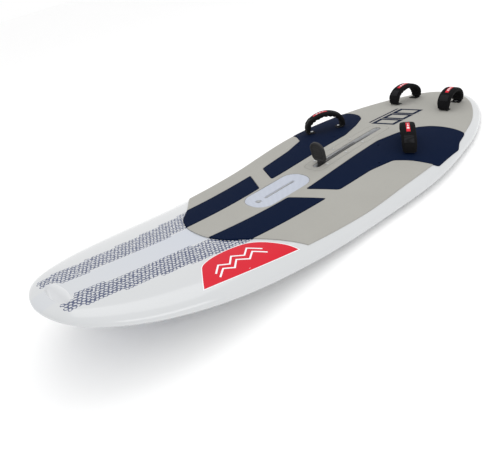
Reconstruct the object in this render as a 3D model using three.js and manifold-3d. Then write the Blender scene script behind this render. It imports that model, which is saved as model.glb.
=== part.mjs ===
// Windsurf board with a swinging daggerboard, four foot straps and an EVA deck pad.
// Millimetres. +X to the nose, +Y to port, +Z up. The origin is under the hull's middle,
// on the flat bottom.
import * as THREE from 'three';
import { mergeVertices } from 'three/addons/utils/BufferGeometryUtils.js';
import Module from 'manifold-3d';

const wasm = await Module();
wasm.setup();

// ---------- driving dimensions ----------
const HALF_LENGTH = 1220;
// Half-width of the outline at each x, from the stern to the nose.
const OUTLINE = [
  [-1220, 0], [-1190, 101], [-1122, 183], [-939, 294], [-659, 384], [-281, 430], [98, 403],
  [427, 379], [708, 352], [939, 301], [1080, 236], [1165, 165], [1220, 0],
];
// Hull thickness on the centre line at each x.
const THICKNESS = [
  [-1220, 34], [-1066, 42], [-761, 74], [-457, 101], [-152, 112], [152, 114], [457, 108],
  [761, 94], [1066, 64], [1220, 40],
];
const NOSE_ROCKER = 240;
const DECK_DOME_POWER = 4;
const RAIL_POWER = 5;
const RAIL_APEX = 0.25;
const STATION_COUNT = 28;
const STATION_END = 86;
const DECK_LINES = [0, 0.3, 0.52, 0.7, 0.83, 0.92, 0.975, 1];
const RAIL_LINES = [0.975, 0.88, 0.7, 0.35];

const SKIN = 3;
const GAP = 0.3;
const PAD_GREY = 4.5;
const PAD_NAVY = 6;

// Deck pad outlines on the port side, from the centre line outwards and back.
const DECK_PAD = [
  [612, 0], [603, 70], [581, 124], [506, 200], [445, 277], [394, 345], [230, 362], [68, 376],
  [-100, 385], [-311, 392], [-480, 380], [-660, 350], [-824, 305], [-940, 255], [-1050, 190],
  [-1120, 125], [-1160, 60], [-1170, 0],
];
// The front insets run on past the pad's front edge, which trims them.
const NAVY_FRONT = [[560, 197], [137, 216], [209, 83], [640, 63]];
const NAVY_REAR = [
  [118, 98], [56, 218], [-130, 232], [-249, 262], [-290, 318], [-318, 368], [-350, 410],
  [-540, 396], [-585, 374], [-680, 350], [-676, 300], [-662, 245], [-642, 200], [-604, 160],
  [-513, 122], [-385, 90],
];

const SLOT = { front: -51, back: -527, half: 17, wall: 4 };
const FRAME_RIM = { front: -26, back: -552, half: 50, height: 4.3 };
const FRAME_SCREWS_X = [-95, -225, -347];
const FRAME_SCREW_Y = 36;
const SEAL = { inner: 11.8, bottom: 0.5, height: 3 };

const PIVOT = { x: -150, z: 75, pin: 5, hole: 5.4 };
const BLADE_HALF = 11;
// Side view of the blade when it is stowed, measured from the pivot.
const BLADE = [
  [72, 14], [64, 38], [20, 38], [-180, 33], [-205, 24], [-300, 16], [-350, 8], [-366, -8],
  [-364, -30], [-348, -48], [-320, -57], [-200, -64], [-40, -64], [20, -52], [56, -26],
];
const LEVER = { base: 52, lean: 14, thickness: 13, bottom: 53, top: 147, half: 38, neck: 9 };

const MAST = { x: 183, half_length: 156, half_width: 70, corner: 62, plate: 3.2 };
const TRACK = { x: 172, half_length: 86, half_slot: 5.5, half_cavity: 13, depth: 36, lip: 8 };
const VENT = { x: 294, screw: 6.5, insert: 12, rim: 1.2, shank: 3.6, bore: 4, depth: 18 };
const HANDLE = { x: 1142, rx: 27, ry: 76, depth: 32, wall: 3, undercut: 16 };
const FIN = { x: -950, half_length: 100, half_width: 14, half_slot: 5, depth: 28, slot_depth: 23 };

const PLUG = { r: 10, depth: 26, bore: 2.9 };
const SPARE_PLUGS = { fore: [-198, 227], mid: [-342, 124], aft: [-787, 52] };
const STRAPS = {
  front: { x: -408, y: 233, yaw: 36, pad: PAD_NAVY },
  rear: { x: -958, y: 129, yaw: 7, pad: PAD_GREY },
};
const ARCH = { foot: 90, bulge: 0.09, height: 84, tab: 34, screw: 22, roundness: 0.85, steps: 15 };
const WEBBING = { half_width: 22, half_thickness: 1.5 };
const COVER = { half_width: 31, outer: 8, inner: 16, start: 9, channel: 2.1, chamfer: 4 };
const SCREW = { head: 7, head_height: 3.6, shank: 2.5, length: 22 };
const SIDES = { port: 1, starboard: -1 };

// ---------- curves ----------
const stationAngle = (x) => Math.asin(THREE.MathUtils.clamp(x / HALF_LENGTH, -1, 1));

// Monotone cubic through [t, value] pairs.
function monotone(points) {
  const t = points.map((p) => p[0]);
  const v = points.map((p) => p[1]);
  const slope = t.slice(1).map((_, i) => (v[i + 1] - v[i]) / (t[i + 1] - t[i]));
  const tangent = v.map((_, i) => {
    if (i === 0) return slope[0];
    if (i === v.length - 1) return slope[i - 1];
    if (slope[i - 1] * slope[i] <= 0) return 0;
    return 2 / (1 / slope[i - 1] + 1 / slope[i]);
  });
  return (at) => {
    let i = t.findIndex((limit, k) => k > 0 && at <= limit) - 1;
    if (i < 0) i = at < t[0] ? 0 : t.length - 2;
    const span = t[i + 1] - t[i];
    const s = THREE.MathUtils.clamp((at - t[i]) / span, 0, 1);
    const rise = v[i + 1] - v[i];
    const a = tangent[i] * span;
    const b = tangent[i + 1] * span;
    return v[i] + a * s + (3 * rise - 2 * a - b) * s * s + (a + b - 2 * rise) * s * s * s;
  };
}

const outlineByAngle = monotone(OUTLINE.map(([x, w]) => [stationAngle(x), w]));
const halfWidth = (x) => outlineByAngle(stationAngle(x));
const thickness = monotone(THICKNESS);
const bottomZ = (x) => (x > 0 ? NOSE_ROCKER * (x / HALF_LENGTH) ** 2 : 0);
const apexZ = (x) => bottomZ(x) + RAIL_APEX * thickness(x);

function deckZAt(x, u) {
  const dome = Math.sqrt(Math.max(0, 1 - Math.abs(u) ** DECK_DOME_POWER));
  return apexZ(x) + (1 - RAIL_APEX) * thickness(x) * dome;
}

function railZAt(x, u) {
  return bottomZ(x) + RAIL_APEX * thickness(x) * (1 - (1 - u ** RAIL_POWER) ** 0.5);
}

const deckZ = (x, y) => deckZAt(x, Math.min(1, Math.abs(y) / halfWidth(x)));

const stations = Array.from({ length: STATION_COUNT }, (_, i) => {
  const angle = THREE.MathUtils.degToRad(STATION_END) * (2 * i / (STATION_COUNT - 1) - 1);
  return HALF_LENGTH * Math.sin(angle);
});

// ---------- solids ----------
function fromGeometry(geometry) {
  const bare = geometry.clone();
  bare.deleteAttribute('normal');
  bare.deleteAttribute('uv');
  const merged = mergeVertices(bare, 1e-4);
  return new wasm.Manifold(new wasm.Mesh({
    numProp: 3,
    vertProperties: new Float32Array(merged.attributes.position.array),
    triVerts: new Uint32Array(merged.index.array),
  }));
}

function fromFaces(vertices, triangles) {
  const geometry = new THREE.BufferGeometry();
  geometry.setAttribute('position', new THREE.Float32BufferAttribute(vertices.flat(), 3));
  geometry.setIndex(triangles.flat());
  return fromGeometry(geometry);
}

// A closed solid through rings of [x, y, z] points, with a fan over each end.
function loft(rings) {
  const n = rings[0].length;
  const last = (rings.length - 1) * n;
  const vertices = rings.flat();
  const triangles = [];
  for (let r = 0; r < rings.length - 1; r += 1) {
    for (let i = 0; i < n; i += 1) {
      const a = r * n + i;
      const b = r * n + (i + 1) % n;
      triangles.push([a, b, b + n], [a, b + n, a + n]);
    }
  }
  const middle = (ring) => [0, 1, 2].map((k) => ring.reduce((sum, p) => sum + p[k], 0) / n);
  vertices.push(middle(rings[0]), middle(rings[rings.length - 1]));
  for (let i = 0; i < n; i += 1) {
    const j = (i + 1) % n;
    triangles.push([rings.length * n, j, i], [rings.length * n + 1, last + i, last + j]);
  }
  const solid = fromFaces(vertices, triangles);
  if (solid.volume() > 0) return solid;
  return fromFaces(vertices, triangles.map(([a, b, c]) => [a, c, b]));
}

// An upright prism over a plan outline, from z = low to z = high.
function prism(outline, low = -50, high = 500) {
  const shape = new THREE.Shape(outline.map(([x, y]) => new THREE.Vector2(x, y)));
  const geometry = new THREE.ExtrudeGeometry(shape, { depth: high - low, bevelEnabled: false });
  geometry.translate(0, 0, low);
  return fromGeometry(geometry);
}

function ellipse(x, y, rx, ry = rx, segments = 12) {
  return Array.from({ length: segments }, (_, i) => {
    const angle = 2 * Math.PI * i / segments;
    return [x + rx * Math.cos(angle), y + ry * Math.sin(angle)];
  });
}

function roundedBox(x, halfX, halfY, corner, steps = 6) {
  const points = [];
  [[1, 1], [-1, 1], [-1, -1], [1, -1]].forEach(([sx, sy], quarter) => {
    for (let i = 0; i <= steps; i += 1) {
      const angle = Math.PI / 2 * (quarter + i / steps);
      points.push([
        x + sx * (halfX - corner) + corner * Math.cos(angle),
        sy * (halfY - corner) + corner * Math.sin(angle),
      ]);
    }
  });
  return points;
}

const mirrored = (outline) => outline.map(([x, y]) => [x, -y]).reverse();
const onSide = (outline, side) => (side > 0 ? outline : mirrored(outline));
const bothSides = (half) => [...half, ...mirrored(half).slice(1, -1)];

// Moves every edge of an anticlockwise outline inwards by a distance.
function inset(outline, distance) {
  const n = outline.length;
  const normals = outline.map(([x, y], i) => {
    const [nx, ny] = outline[(i + 1) % n];
    const length = Math.hypot(nx - x, ny - y);
    return [-(ny - y) / length, (nx - x) / length];
  });
  return outline.map(([x, y], i) => {
    const [ax, ay] = normals[(i + n - 1) % n];
    const [bx, by] = normals[i];
    const scale = distance / (1 + ax * bx + ay * by);
    return [x + (ax + bx) * scale, y + (ay + by) * scale];
  });
}

// ---------- hull ----------
function hullRing(x, shrink) {
  const w = halfWidth(x) - shrink;
  const deck = DECK_LINES.map((u) => [x, u * w, deckZAt(x, u) - shrink * (1 - u ** 8)]);
  const rail = RAIL_LINES.map((u) => [x, u * w, railZAt(x, u) + shrink * (1 - u ** 8)]);
  const port = [...deck, ...rail];
  const starboard = port.slice(1).reverse().map(([px, py, pz]) => [px, -py, pz]);
  return [...port, [x, 0, bottomZ(x) + shrink], ...starboard];
}

function hullSolid(shrink) {
  const end = shrink / HALF_LENGTH;
  return loft(stations.map((x) => hullRing(x, shrink).map(([px, py, pz]) => [px * (1 - end), py, pz])));
}

// The space above (or below) the rail's apex line.
function halfSpace(above) {
  const far = above ? 600 : -100;
  const edge = above ? GAP / 2 : -GAP / 2;
  const xs = [-HALF_LENGTH - 20, ...stations, HALF_LENGTH + 20];
  return loft(xs.map((x) => {
    const z = apexZ(x) + edge;
    return [[x, -600, z], [x, 600, z], [x, 600, far], [x, -600, far]];
  }));
}

// Everything under a surface that follows the deck at a height above it.
function underDeck(height) {
  const lines = DECK_LINES.slice(0, -1);
  const across = [...lines.slice(1).reverse().map((u) => -u), ...lines];
  const edge = lines[lines.length - 1];
  return loft(stations.map((x) => {
    const w = halfWidth(x);
    const top = across.map((u) => [x, u * w, deckZAt(x, u) + height]);
    return [...top, [x, edge * w, -100], [x, -edge * w, -100]];
  }));
}

const deckLayer = (low, high) => underDeck(high).subtract(underDeck(low));
const layerOver = (outline, low, high) => deckLayer(low, high).intersect(prism(outline));

const sideEntries = Object.entries(SIDES);

function strapFrame(strap, side) {
  const yaw = THREE.MathUtils.degToRad(strap.yaw);
  return {
    x: strap.x,
    y: side * strap.y,
    along: [-Math.cos(yaw), -side * Math.sin(yaw)],
    across: [side * Math.sin(yaw), -Math.cos(yaw)],
    pad: strap.pad,
  };
}

function strapScrewPoints(frame) {
  const reach = ARCH.foot - ARCH.screw;
  return [-reach, reach].map((d) => [frame.x + frame.along[0] * d, frame.y + frame.along[1] * d]);
}

const strapEntries = sideEntries.flatMap(([sideName, side]) => (
  Object.entries(STRAPS).map(([row, strap]) => [`${row}_${sideName}`, strapFrame(strap, side)])
));
const usedPlugs = strapEntries.flatMap(([name, frame]) => (
  strapScrewPoints(frame).map((point, i) => [`${name}_${i ? 'inboard' : 'outboard'}`, point, frame])
));
const sparePlugs = sideEntries.flatMap(([sideName, side]) => (
  Object.entries(SPARE_PLUGS).map(([row, [x, y]]) => [`spare_${row}_${sideName}`, [x, side * y]])
));
const frameScrews = sideEntries.flatMap(([sideName, side]) => (
  FRAME_SCREWS_X.map((x, i) => [`${sideName}_${i + 1}`, [x, side * FRAME_SCREW_Y]])
));

function post([x, y], r, low, high, segments = 8) {
  const z = deckZ(x, y);
  return prism(ellipse(x, y, r, r, segments), z + low, z + high);
}

// The same, with both ends following the deck.
const drapedPost = ([x, y], r, low, high, segments = 8) => (
  layerOver(ellipse(x, y, r, r, segments), low, high)
);

const slotOutline = (grow) => roundedBox(
  (SLOT.front + SLOT.back) / 2,
  (SLOT.front - SLOT.back) / 2 + grow,
  SLOT.half + grow,
  SLOT.half + grow - 1,
  4,
);

const handleOutline = (grow, forward) => (
  ellipse(HANDLE.x + forward, 0, HANDLE.rx + grow, HANDLE.ry + grow, 24)
);
const trackOutline = (grow, half = TRACK.half_cavity + 5) => roundedBox(
  TRACK.x,
  TRACK.half_length + 8 + grow,
  half + grow,
  6,
  2,
);
const finOutline = (grow) => roundedBox(FIN.x, FIN.half_length + grow, FIN.half_width + grow, 6, 2);

function deckShell(skin) {
  let shell = skin.intersect(halfSpace(true));
  const cuts = [
    prism(slotOutline(SLOT.wall + GAP)),
    prism(handleOutline(HANDLE.wall + GAP, 0)),
    prism(trackOutline(GAP)),
    prism(ellipse(VENT.x, 0, VENT.insert + GAP, VENT.insert + GAP, 16)),
    ...[...usedPlugs, ...sparePlugs].map(([, at]) => post(at, PLUG.r + GAP, -20, 20)),
    ...frameScrews.map(([, at]) => post(at, SCREW.shank + GAP, -20, 20, 8)),
  ];
  cuts.forEach((cut) => { shell = shell.subtract(cut); });
  return shell;
}

function bottomShell(skin) {
  return skin.intersect(halfSpace(false))
    .subtract(prism(slotOutline(SLOT.wall + GAP), -20, 20))
    .subtract(prism(finOutline(GAP), -20, 20));
}

function foamCore() {
  let foam = hullSolid(SKIN + GAP);
  const cupDepth = HANDLE.depth + HANDLE.wall + GAP;
  const cuts = [
    prism(slotOutline(SLOT.wall + GAP)),
    layerOver(handleOutline(HANDLE.wall + GAP, 0), -cupDepth, 20),
    layerOver(handleOutline(HANDLE.wall + GAP, HANDLE.undercut), -cupDepth, -SKIN),
    layerOver(trackOutline(GAP), -TRACK.depth - GAP, 20),
    prism(finOutline(GAP), -20, FIN.depth + GAP),
    drapedPost([VENT.x, 0], VENT.insert + GAP, -VENT.depth - GAP, 20, 16),
    ...[...usedPlugs, ...sparePlugs].map(([, at]) => drapedPost(at, PLUG.r + GAP, -PLUG.depth - GAP, 20)),
    ...frameScrews.map(([, at]) => post(at, SCREW.shank + GAP, -SCREW.length, 20, 8)),
  ];
  cuts.forEach((cut) => { foam = foam.subtract(cut); });
  return foam;
}

// ---------- deck fittings ----------
function noseHandleCup() {
  const { wall, depth, undercut } = HANDLE;
  const body = layerOver(handleOutline(wall, 0), -depth - wall, 0)
    .add(layerOver(handleOutline(wall, undercut), -depth - wall, -SKIN - GAP));
  const hollow = layerOver(handleOutline(0, 0), -depth, 20)
    .add(layerOver(handleOutline(0, undercut), -depth, -SKIN - 4));
  return body.subtract(hollow);
}

function mastTrackBox() {
  const { x, half_length: reach, half_slot: slot, half_cavity: cavity, depth, lip } = TRACK;
  return layerOver(trackOutline(0), -depth, 0)
    .subtract(prism(roundedBox(x, reach, slot, slot - 1, 3), deckZ(x, 0) - depth + 4, 500))
    .subtract(prism(roundedBox(x, reach, cavity, 4, 1), deckZ(x, 0) - depth + 4, deckZ(x, 0) - lip));
}

function mastPlate() {
  const outline = roundedBox(MAST.x, MAST.half_length, MAST.half_width, MAST.corner);
  return layerOver(outline, GAP, MAST.plate)
    .subtract(prism(roundedBox(TRACK.x, TRACK.half_length + 2, TRACK.half_slot + 2, 6, 3)))
    .subtract(prism(ellipse(VENT.x, 0, VENT.insert + 1, VENT.insert + 1, 16)));
}

const ventInsert = () => drapedPost([VENT.x, 0], VENT.insert, -VENT.depth, VENT.rim, 16)
  .subtract(post([VENT.x, 0], VENT.bore, -VENT.depth + 3, 20));

// The head's underside is level, clear of the sloping insert, so that it can turn.
const ventScrew = () => post([VENT.x, 0], VENT.screw, VENT.rim + 1, PAD_GREY, 12)
  .add(post([VENT.x, 0], VENT.shank, -12, VENT.rim + 2))
  .subtract(prism(
    roundedBox(VENT.x, 5, 0.8, 0.7, 1),
    deckZ(VENT.x, 0) + PAD_GREY - 1.5,
    500,
  ));

function plug(at) {
  return drapedPost(at, PLUG.r, -PLUG.depth, 0)
    .subtract(post(at, PLUG.bore, -PLUG.depth + 3, 20));
}

const finBox = () => prism(finOutline(0), 0, FIN.depth)
  .subtract(prism(roundedBox(FIN.x, FIN.half_length - 8, FIN.half_slot, 4, 2), -10, FIN.slot_depth));

// ---------- daggerboard ----------
// A side-view outline [dx, dz] about the pivot, spread from y = -half to y = half.
function sidePlate(outline, half) {
  const shape = new THREE.Shape(outline.map(([dx, dz]) => new THREE.Vector2(dx, dz)));
  const geometry = new THREE.ExtrudeGeometry(shape, { depth: 2 * half, bevelEnabled: false });
  geometry.rotateX(Math.PI / 2);
  geometry.translate(PIVOT.x, half, PIVOT.z);
  return fromGeometry(geometry);
}

const pivotRod = (r, half) => sidePlate(ellipse(0, 0, r, r, 16), half);

function daggerboardCase() {
  return prism(slotOutline(SLOT.wall), 0)
    .intersect(loft(stations.map((x) => {
      const z = deckZ(x, 0);
      return [[x, -60, -5], [x, 60, -5], [x, 60, z], [x, -60, z]];
    })))
    .subtract(prism(slotOutline(0)))
    .subtract(pivotRod(PIVOT.pin + GAP, SLOT.half + SLOT.wall - 1));
}

const slotFrame = () => {
  const { front, back, half, height } = FRAME_RIM;
  const outline = roundedBox((front + back) / 2, (front - back) / 2, half, 30, 5);
  let rim = layerOver(outline, GAP, height).subtract(prism(slotOutline(1)));
  frameScrews.forEach(([, at]) => { rim = rim.subtract(post(at, SCREW.shank + GAP, -20, 20, 8)); });
  return rim;
};

const frameScrew = (at) => drapedPost(at, 5.5, FRAME_RIM.height + GAP, FRAME_RIM.height + 2.3)
  .add(post(at, SCREW.shank, -SCREW.length + 2, FRAME_RIM.height + 1, 8));

function slotSeal(side) {
  const low = side > 0 ? SEAL.inner : -SLOT.half + GAP;
  const high = side > 0 ? SLOT.half - GAP : -SEAL.inner;
  const strip = [[-72, low], [-72, high], [-506, high], [-506, low]].reverse();
  return prism(strip, SEAL.bottom, SEAL.bottom + SEAL.height);
}

const blade = () => sidePlate(BLADE, BLADE_HALF)
  .subtract(pivotRod(PIVOT.hole, 40))
  .subtract(sidePlate([[30, 20], [73, 20], [73, 60], [30, 60]], 40));

function lever() {
  const { base, lean, thickness: thick, bottom, top, half, neck } = LEVER;
  const paddle = Array.from({ length: 13 }, (_, i) => {
    const angle = Math.PI * i / 12;
    return [half * Math.cos(angle), top - half + half * Math.sin(angle)];
  });
  const outline = [[-half + 8, bottom], [half - 8, bottom], [half, bottom + 12], ...paddle,
    [-half, bottom + 12]];
  const slant = (height) => base + lean * (height - bottom) / (top - bottom);
  const faces = [0, thick].map((depth) => outline.map(([y, dz]) => (
    [PIVOT.x + slant(dz) + depth, y, PIVOT.z + dz]
  )));
  const stem = [[32, 22], [70, 22], [70, bottom + 4], [58, bottom + 4], [32, 44]];
  return loft(faces).add(sidePlate(stem, neck));
}

// ---------- foot straps ----------
// A point of the arch as [distance along, height].
function archPoint(angle) {
  const cos = Math.cos(angle);
  const sin = Math.max(0, Math.sin(angle));
  const reach = ARCH.foot * (1 + ARCH.bulge * Math.sin(2 * Math.min(angle, Math.PI - angle)));
  return [-reach * cos, ARCH.height * sin ** ARCH.roundness];
}

// The webbing's centre line from one screw tab over the arch to the other.
function strapProfile() {
  const { half_thickness: t } = WEBBING;
  const tab = (s) => [[s * (ARCH.foot - ARCH.tab), t], [s * (ARCH.foot - 7), t],
    [s * (ARCH.foot - 3), t + 1]];
  const first = Math.asin((COVER.start / ARCH.height) ** (1 / ARCH.roundness));
  const over = Array.from({ length: ARCH.steps }, (_, i) => (
    first + (Math.PI - 2 * first) * i / (ARCH.steps - 1)
  ));
  const legs = [first / 4, ...over, Math.PI - first / 4].map(archPoint);
  const points = [...tab(-1), ...legs.map(([d, h]) => [d, h + t]), ...tab(1).reverse()];
  return points.map(([d, h], i) => {
    const before = points[Math.max(0, i - 1)];
    const after = points[Math.min(points.length - 1, i + 1)];
    const length = Math.hypot(after[0] - before[0], after[1] - before[1]);
    return [d, h, -(after[1] - before[1]) / length, (after[0] - before[0]) / length];
  });
}

function strapPoint(frame, [d, h, nd, nh], off, side) {
  const reach = d + nd * off;
  const x = frame.x + frame.along[0] * reach + frame.across[0] * side;
  const y = frame.y + frame.along[1] * reach + frame.across[1] * side;
  return [x, y, deckZ(x, y) + frame.pad + 0.5 + h + nh * off];
}

function strapLoft(frame, profile, section) {
  return loft(profile.map((p) => section.map(([side, off]) => strapPoint(frame, p, off, side))));
}

function webbing(frame) {
  const { half_width: w, half_thickness: t } = WEBBING;
  const screws = strapScrewPoints(frame).map((at) => post(at, SCREW.shank + GAP, 0, 20, 8));
  const band = strapLoft(frame, strapProfile(), [[-w, -t], [w, -t], [w, t], [-w, t]]);
  return band.subtract(screws[0]).subtract(screws[1]);
}

function strapCover(frame) {
  const { half_width: w, outer, inner, channel, chamfer: c } = COVER;
  const sleeve = [[-w + c, -inner], [w - c, -inner], [w, c - inner], [w, outer - c / 2],
    [w - c, outer], [c - w, outer], [-w, outer - c / 2], [-w, c - inner]];
  const side = WEBBING.half_width + 1;
  const hollow = [[-side, -channel], [side, -channel], [side, channel], [-side, channel]];
  const legs = strapProfile().slice(3, -3);
  return strapLoft(frame, legs.slice(1, -1), sleeve).subtract(strapLoft(frame, legs, hollow));
}

function strapScrew(at, frame) {
  const seat = frame.pad + 0.5 + 2 * WEBBING.half_thickness + GAP + 1;
  return drapedPost(at, SCREW.head, seat, seat + SCREW.head_height)
    .add(post(at, SCREW.shank, -SCREW.length + 2, seat + 1, 8));
}

// ---------- deck pads ----------
const plateOutline = (grow) => roundedBox(
  MAST.x,
  MAST.half_length + grow,
  MAST.half_width + grow,
  MAST.corner + grow,
);

function punched(pad) {
  let sheet = pad;
  usedPlugs.forEach(([, at]) => { sheet = sheet.subtract(post(at, SCREW.shank + GAP, -20, 20, 8)); });
  sparePlugs.forEach(([, at]) => { sheet = sheet.subtract(post(at, 4, -20, 20, 8)); });
  return sheet;
}

function greyPad() {
  const { front, back, half } = FRAME_RIM;
  const rim = roundedBox((front + back) / 2, (front - back) / 2 + 1, half + 1, 31, 5);
  let pad = layerOver(bothSides(DECK_PAD), GAP, PAD_GREY)
    .subtract(prism(plateOutline(1)))
    .subtract(prism(rim));
  sideEntries.forEach(([, side]) => {
    pad = pad.subtract(prism(onSide(NAVY_FRONT, side))).subtract(prism(onSide(NAVY_REAR, side)));
  });
  return punched(pad);
}

const navyPad = (outline, side) => punched(
  layerOver(onSide(inset(outline, 0.6), side), GAP, PAD_NAVY).subtract(prism(plateOutline(1))),
);

const frontNavyPad = (side) => navyPad(NAVY_FRONT, side).intersect(prism(bothSides(DECK_PAD)));

// ---------- assembly ----------
// Each look is [colour, roughness, metalness].
const LOOKS = {
  hull: [0xf2f4f5, 0.18, 0],
  foam: [0xf4f2ea, 0.9, 0],
  white: [0xe8eaec, 0.3, 0],
  plate: [0xc8cfd7, 0.45, 0],
  grey: [0xb5b0a6, 0.8, 0],
  navy: [0x0d1a36, 0.8, 0],
  black: [0x17181a, 0.4, 0],
  rubber: [0x222326, 0.65, 0],
  cloth: [0x141416, 0.85, 0],
  steel: [0xb8bcc0, 0.3, 1],
};

const board = new THREE.Group();
board.name = 'windsurf_board';

function assembly(name) {
  const group = new THREE.Group();
  group.name = name;
  board.add(group);
  return (nodeName, solid, look) => {
    const mesh = solid.getMesh();
    const geometry = new THREE.BufferGeometry();
    geometry.setAttribute('position', new THREE.BufferAttribute(mesh.vertProperties, 3));
    geometry.setIndex(new THREE.BufferAttribute(mesh.triVerts, 1));
    geometry.computeVertexNormals();
    const [color, roughness, metalness] = LOOKS[look];
    const node = new THREE.Mesh(
      geometry,
      new THREE.MeshStandardMaterial({ color, roughness, metalness }),
    );
    node.name = nodeName;
    group.add(node);
  };
}

function buildHull() {
  const add = assembly('hull');
  const skin = hullSolid(0).subtract(hullSolid(SKIN));
  add('deck_shell', deckShell(skin), 'hull');
  add('bottom_shell', bottomShell(skin), 'hull');
  add('foam_core', foamCore(), 'foam');
  add('nose_handle_cup', noseHandleCup(), 'white');
  add('mast_track_box', mastTrackBox(), 'white');
  add('mast_plate', mastPlate(), 'plate');
  add('vent_insert', ventInsert(), 'steel');
  add('fin_box', finBox(), 'black');
  [...usedPlugs, ...sparePlugs].forEach(([name, at]) => add(`strap_plug_${name}`, plug(at), 'black'));
}

function buildPads() {
  const add = assembly('pads');
  add('deck_pad', greyPad(), 'grey');
  sideEntries.forEach(([sideName, side]) => {
    add(`navy_pad_front_${sideName}`, frontNavyPad(side), 'navy');
    add(`navy_pad_rear_${sideName}`, navyPad(NAVY_REAR, side), 'navy');
  });
}

function buildSlot() {
  const add = assembly('slot');
  add('daggerboard_case', daggerboardCase(), 'white');
  add('slot_frame', slotFrame(), 'grey');
  add('daggerboard_pivot_pin', pivotRod(PIVOT.pin, SLOT.half + SLOT.wall - 1.3), 'steel');
  sideEntries.forEach(([sideName, side]) => add(`slot_seal_${sideName}`, slotSeal(side), 'rubber'));
  frameScrews.forEach(([name, at]) => add(`frame_screw_${name}`, frameScrew(at), 'steel'));
}

function buildDaggerboard() {
  const add = assembly('daggerboard');
  add('daggerboard_blade', blade(), 'black');
  add('daggerboard_lever', lever(), 'rubber');
}

function buildStraps() {
  const add = assembly('straps');
  strapEntries.forEach(([name, frame]) => {
    add(`strap_cover_${name}`, strapCover(frame), 'cloth');
    add(`strap_webbing_${name}`, webbing(frame), 'cloth');
  });
  usedPlugs.forEach(([name, at, frame]) => add(`strap_screw_${name}`, strapScrew(at, frame), 'steel'));
}

buildHull();
buildPads();
buildSlot();
buildDaggerboard();
buildStraps();
assembly('vent')('vent_screw', ventScrew(), 'steel');

export default board;
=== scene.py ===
"""Looks of the windsurf board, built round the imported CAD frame. Lengths are in millimetres until
a mesh is made, and +X is the nose, +Y port and +Z up."""

import math

import bmesh
import bpy
from mathutils import Matrix, Vector, noise
from mathutils.geometry import delaunay_2d_cdt


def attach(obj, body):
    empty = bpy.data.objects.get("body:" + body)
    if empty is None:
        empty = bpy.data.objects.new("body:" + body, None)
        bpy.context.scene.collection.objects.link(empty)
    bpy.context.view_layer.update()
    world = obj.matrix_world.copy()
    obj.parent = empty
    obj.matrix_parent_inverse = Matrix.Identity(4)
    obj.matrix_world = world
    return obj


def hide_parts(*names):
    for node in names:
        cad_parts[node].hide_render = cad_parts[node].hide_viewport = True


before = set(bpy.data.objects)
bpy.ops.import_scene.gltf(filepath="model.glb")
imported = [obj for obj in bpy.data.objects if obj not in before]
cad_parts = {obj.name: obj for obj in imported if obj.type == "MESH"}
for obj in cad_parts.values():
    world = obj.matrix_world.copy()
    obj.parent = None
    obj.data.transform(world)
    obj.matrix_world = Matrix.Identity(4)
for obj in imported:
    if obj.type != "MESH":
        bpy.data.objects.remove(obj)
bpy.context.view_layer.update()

MM = 0.001
HALF_LENGTH = 1220
OUTLINE = [
    (-1220, 0), (-1190, 101), (-1122, 183), (-939, 294), (-659, 384), (-281, 430), (98, 403),
    (427, 379), (708, 352), (939, 301), (1080, 236), (1165, 165), (1220, 0),
]
THICKNESS = [
    (-1220, 34), (-1066, 42), (-761, 74), (-457, 101), (-152, 112), (152, 114), (457, 108),
    (761, 94), (1066, 64), (1220, 40),
]
NOSE_ROCKER = 240
RAIL_APEX = 0.25
END_POWER = 30

PAD_GREY = 4.5
PAD_NAVY = 6
# The deck pad's edge: the front arc, then the straight run to the widest point, then the tail.
PAD_FRONT = [
    (612, 0), (610, 36), (603, 70), (581, 124), (548, 160), (506, 200), (470, 244), (445, 277),
    (420, 310), (394, 345),
]
PAD_SIDE = [
    (394, 345), (230, 362), (68, 376), (-100, 385), (-311, 392), (-480, 380), (-660, 350),
    (-824, 305), (-940, 255), (-1050, 190), (-1120, 125), (-1160, 60), (-1170, 0),
]
NAVY_FRONT = [(137, 216), (209, 83)]
NAVY_REAR = [
    (118, 98), (56, 218), (-130, 232), (-249, 262), (-290, 318), (-318, 368), (-350, 410),
    (-540, 396), (-585, 374), (-680, 350), (-676, 300), (-662, 245), (-642, 200), (-604, 160),
    (-513, 122), (-385, 90),
]
SLOT = {"front": -51, "back": -527, "half": 17, "wall": 4}
FRAME_RIM = {"front": -26, "back": -552, "half": 50, "height": 4.3}
PIVOT = (-150, 75)
BLADE = [
    (72, 14), (64, 38), (20, 38), (-180, 33), (-205, 24), (-300, 16), (-350, 8), (-366, -8),
    (-364, -30), (-348, -48), (-320, -57), (-200, -64), (-40, -64), (20, -52), (56, -26),
]
MAST = {"x": 183, "half_length": 156, "half_width": 70, "corner": 62, "plate": 3.2}
TRACK = {"x": 172, "half_length": 94, "half_width": 18, "half_slot": 5.5}
VENT = {"x": 294, "insert": 12, "depth": 18}
FIN = {"x": -950, "half_length": 100, "half_width": 14, "depth": 28}
PLUG = {"r": 10, "depth": 26, "hole": 4}
HANDLE = {"x": 1142, "rx": 27, "ry": 76, "depth": 26, "undercut": 12}
STRAPS = {"front": (-408, 233, 36, PAD_NAVY), "rear": (-958, 129, 7, PAD_GREY)}
SPARE_PLUGS = [(-198, 227), (-342, 124), (-787, 52)]
SKIN = 3
STRAP_HALF = 31
STRAP_OUTER = 8
STRAP_INNER = 16
SIDES = {"port": 1, "starboard": -1}


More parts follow.
